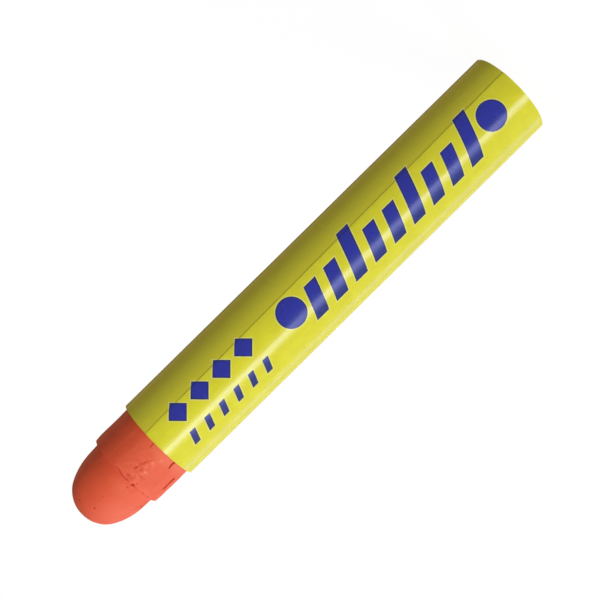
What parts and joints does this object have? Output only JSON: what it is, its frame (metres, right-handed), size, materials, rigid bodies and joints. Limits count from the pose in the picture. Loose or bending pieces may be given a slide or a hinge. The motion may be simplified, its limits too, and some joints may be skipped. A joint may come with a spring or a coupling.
{
  "type": "solid paint marker",
  "caption": "Round stick of solid paint with a stepped domed nose, sliding in a lapped printed paper sleeve.",
  "frame": {"origin": "centre of the sleeve's back end, on the surface that the marker stands on", "axes": "+Z along the marker, out of the nose; -Y is the front of the print; +X is the side that the seam of the paper lies towards"},
  "size_m": [0.0189, 0.0189, 0.1221],
  "materials": {
    "paint": "waxy, satin on the dome and rubbed on the collar",
    "card": "plain grey-brown card",
    "printed_paper": "glossy yellow, printed in blue"
  },
  "bodies": {
    "sleeve": {"card_tube": "card", "printed_label": "printed_paper"},
    "stick": {"paint_stick": "paint"}
  },
  "joints": [
    {"name": "stick_slide", "type": "slide", "parent": "sleeve", "child": "stick", "axis": [0, 0, 1], "range_m": [-0.0015, 0.09]}
  ]
}
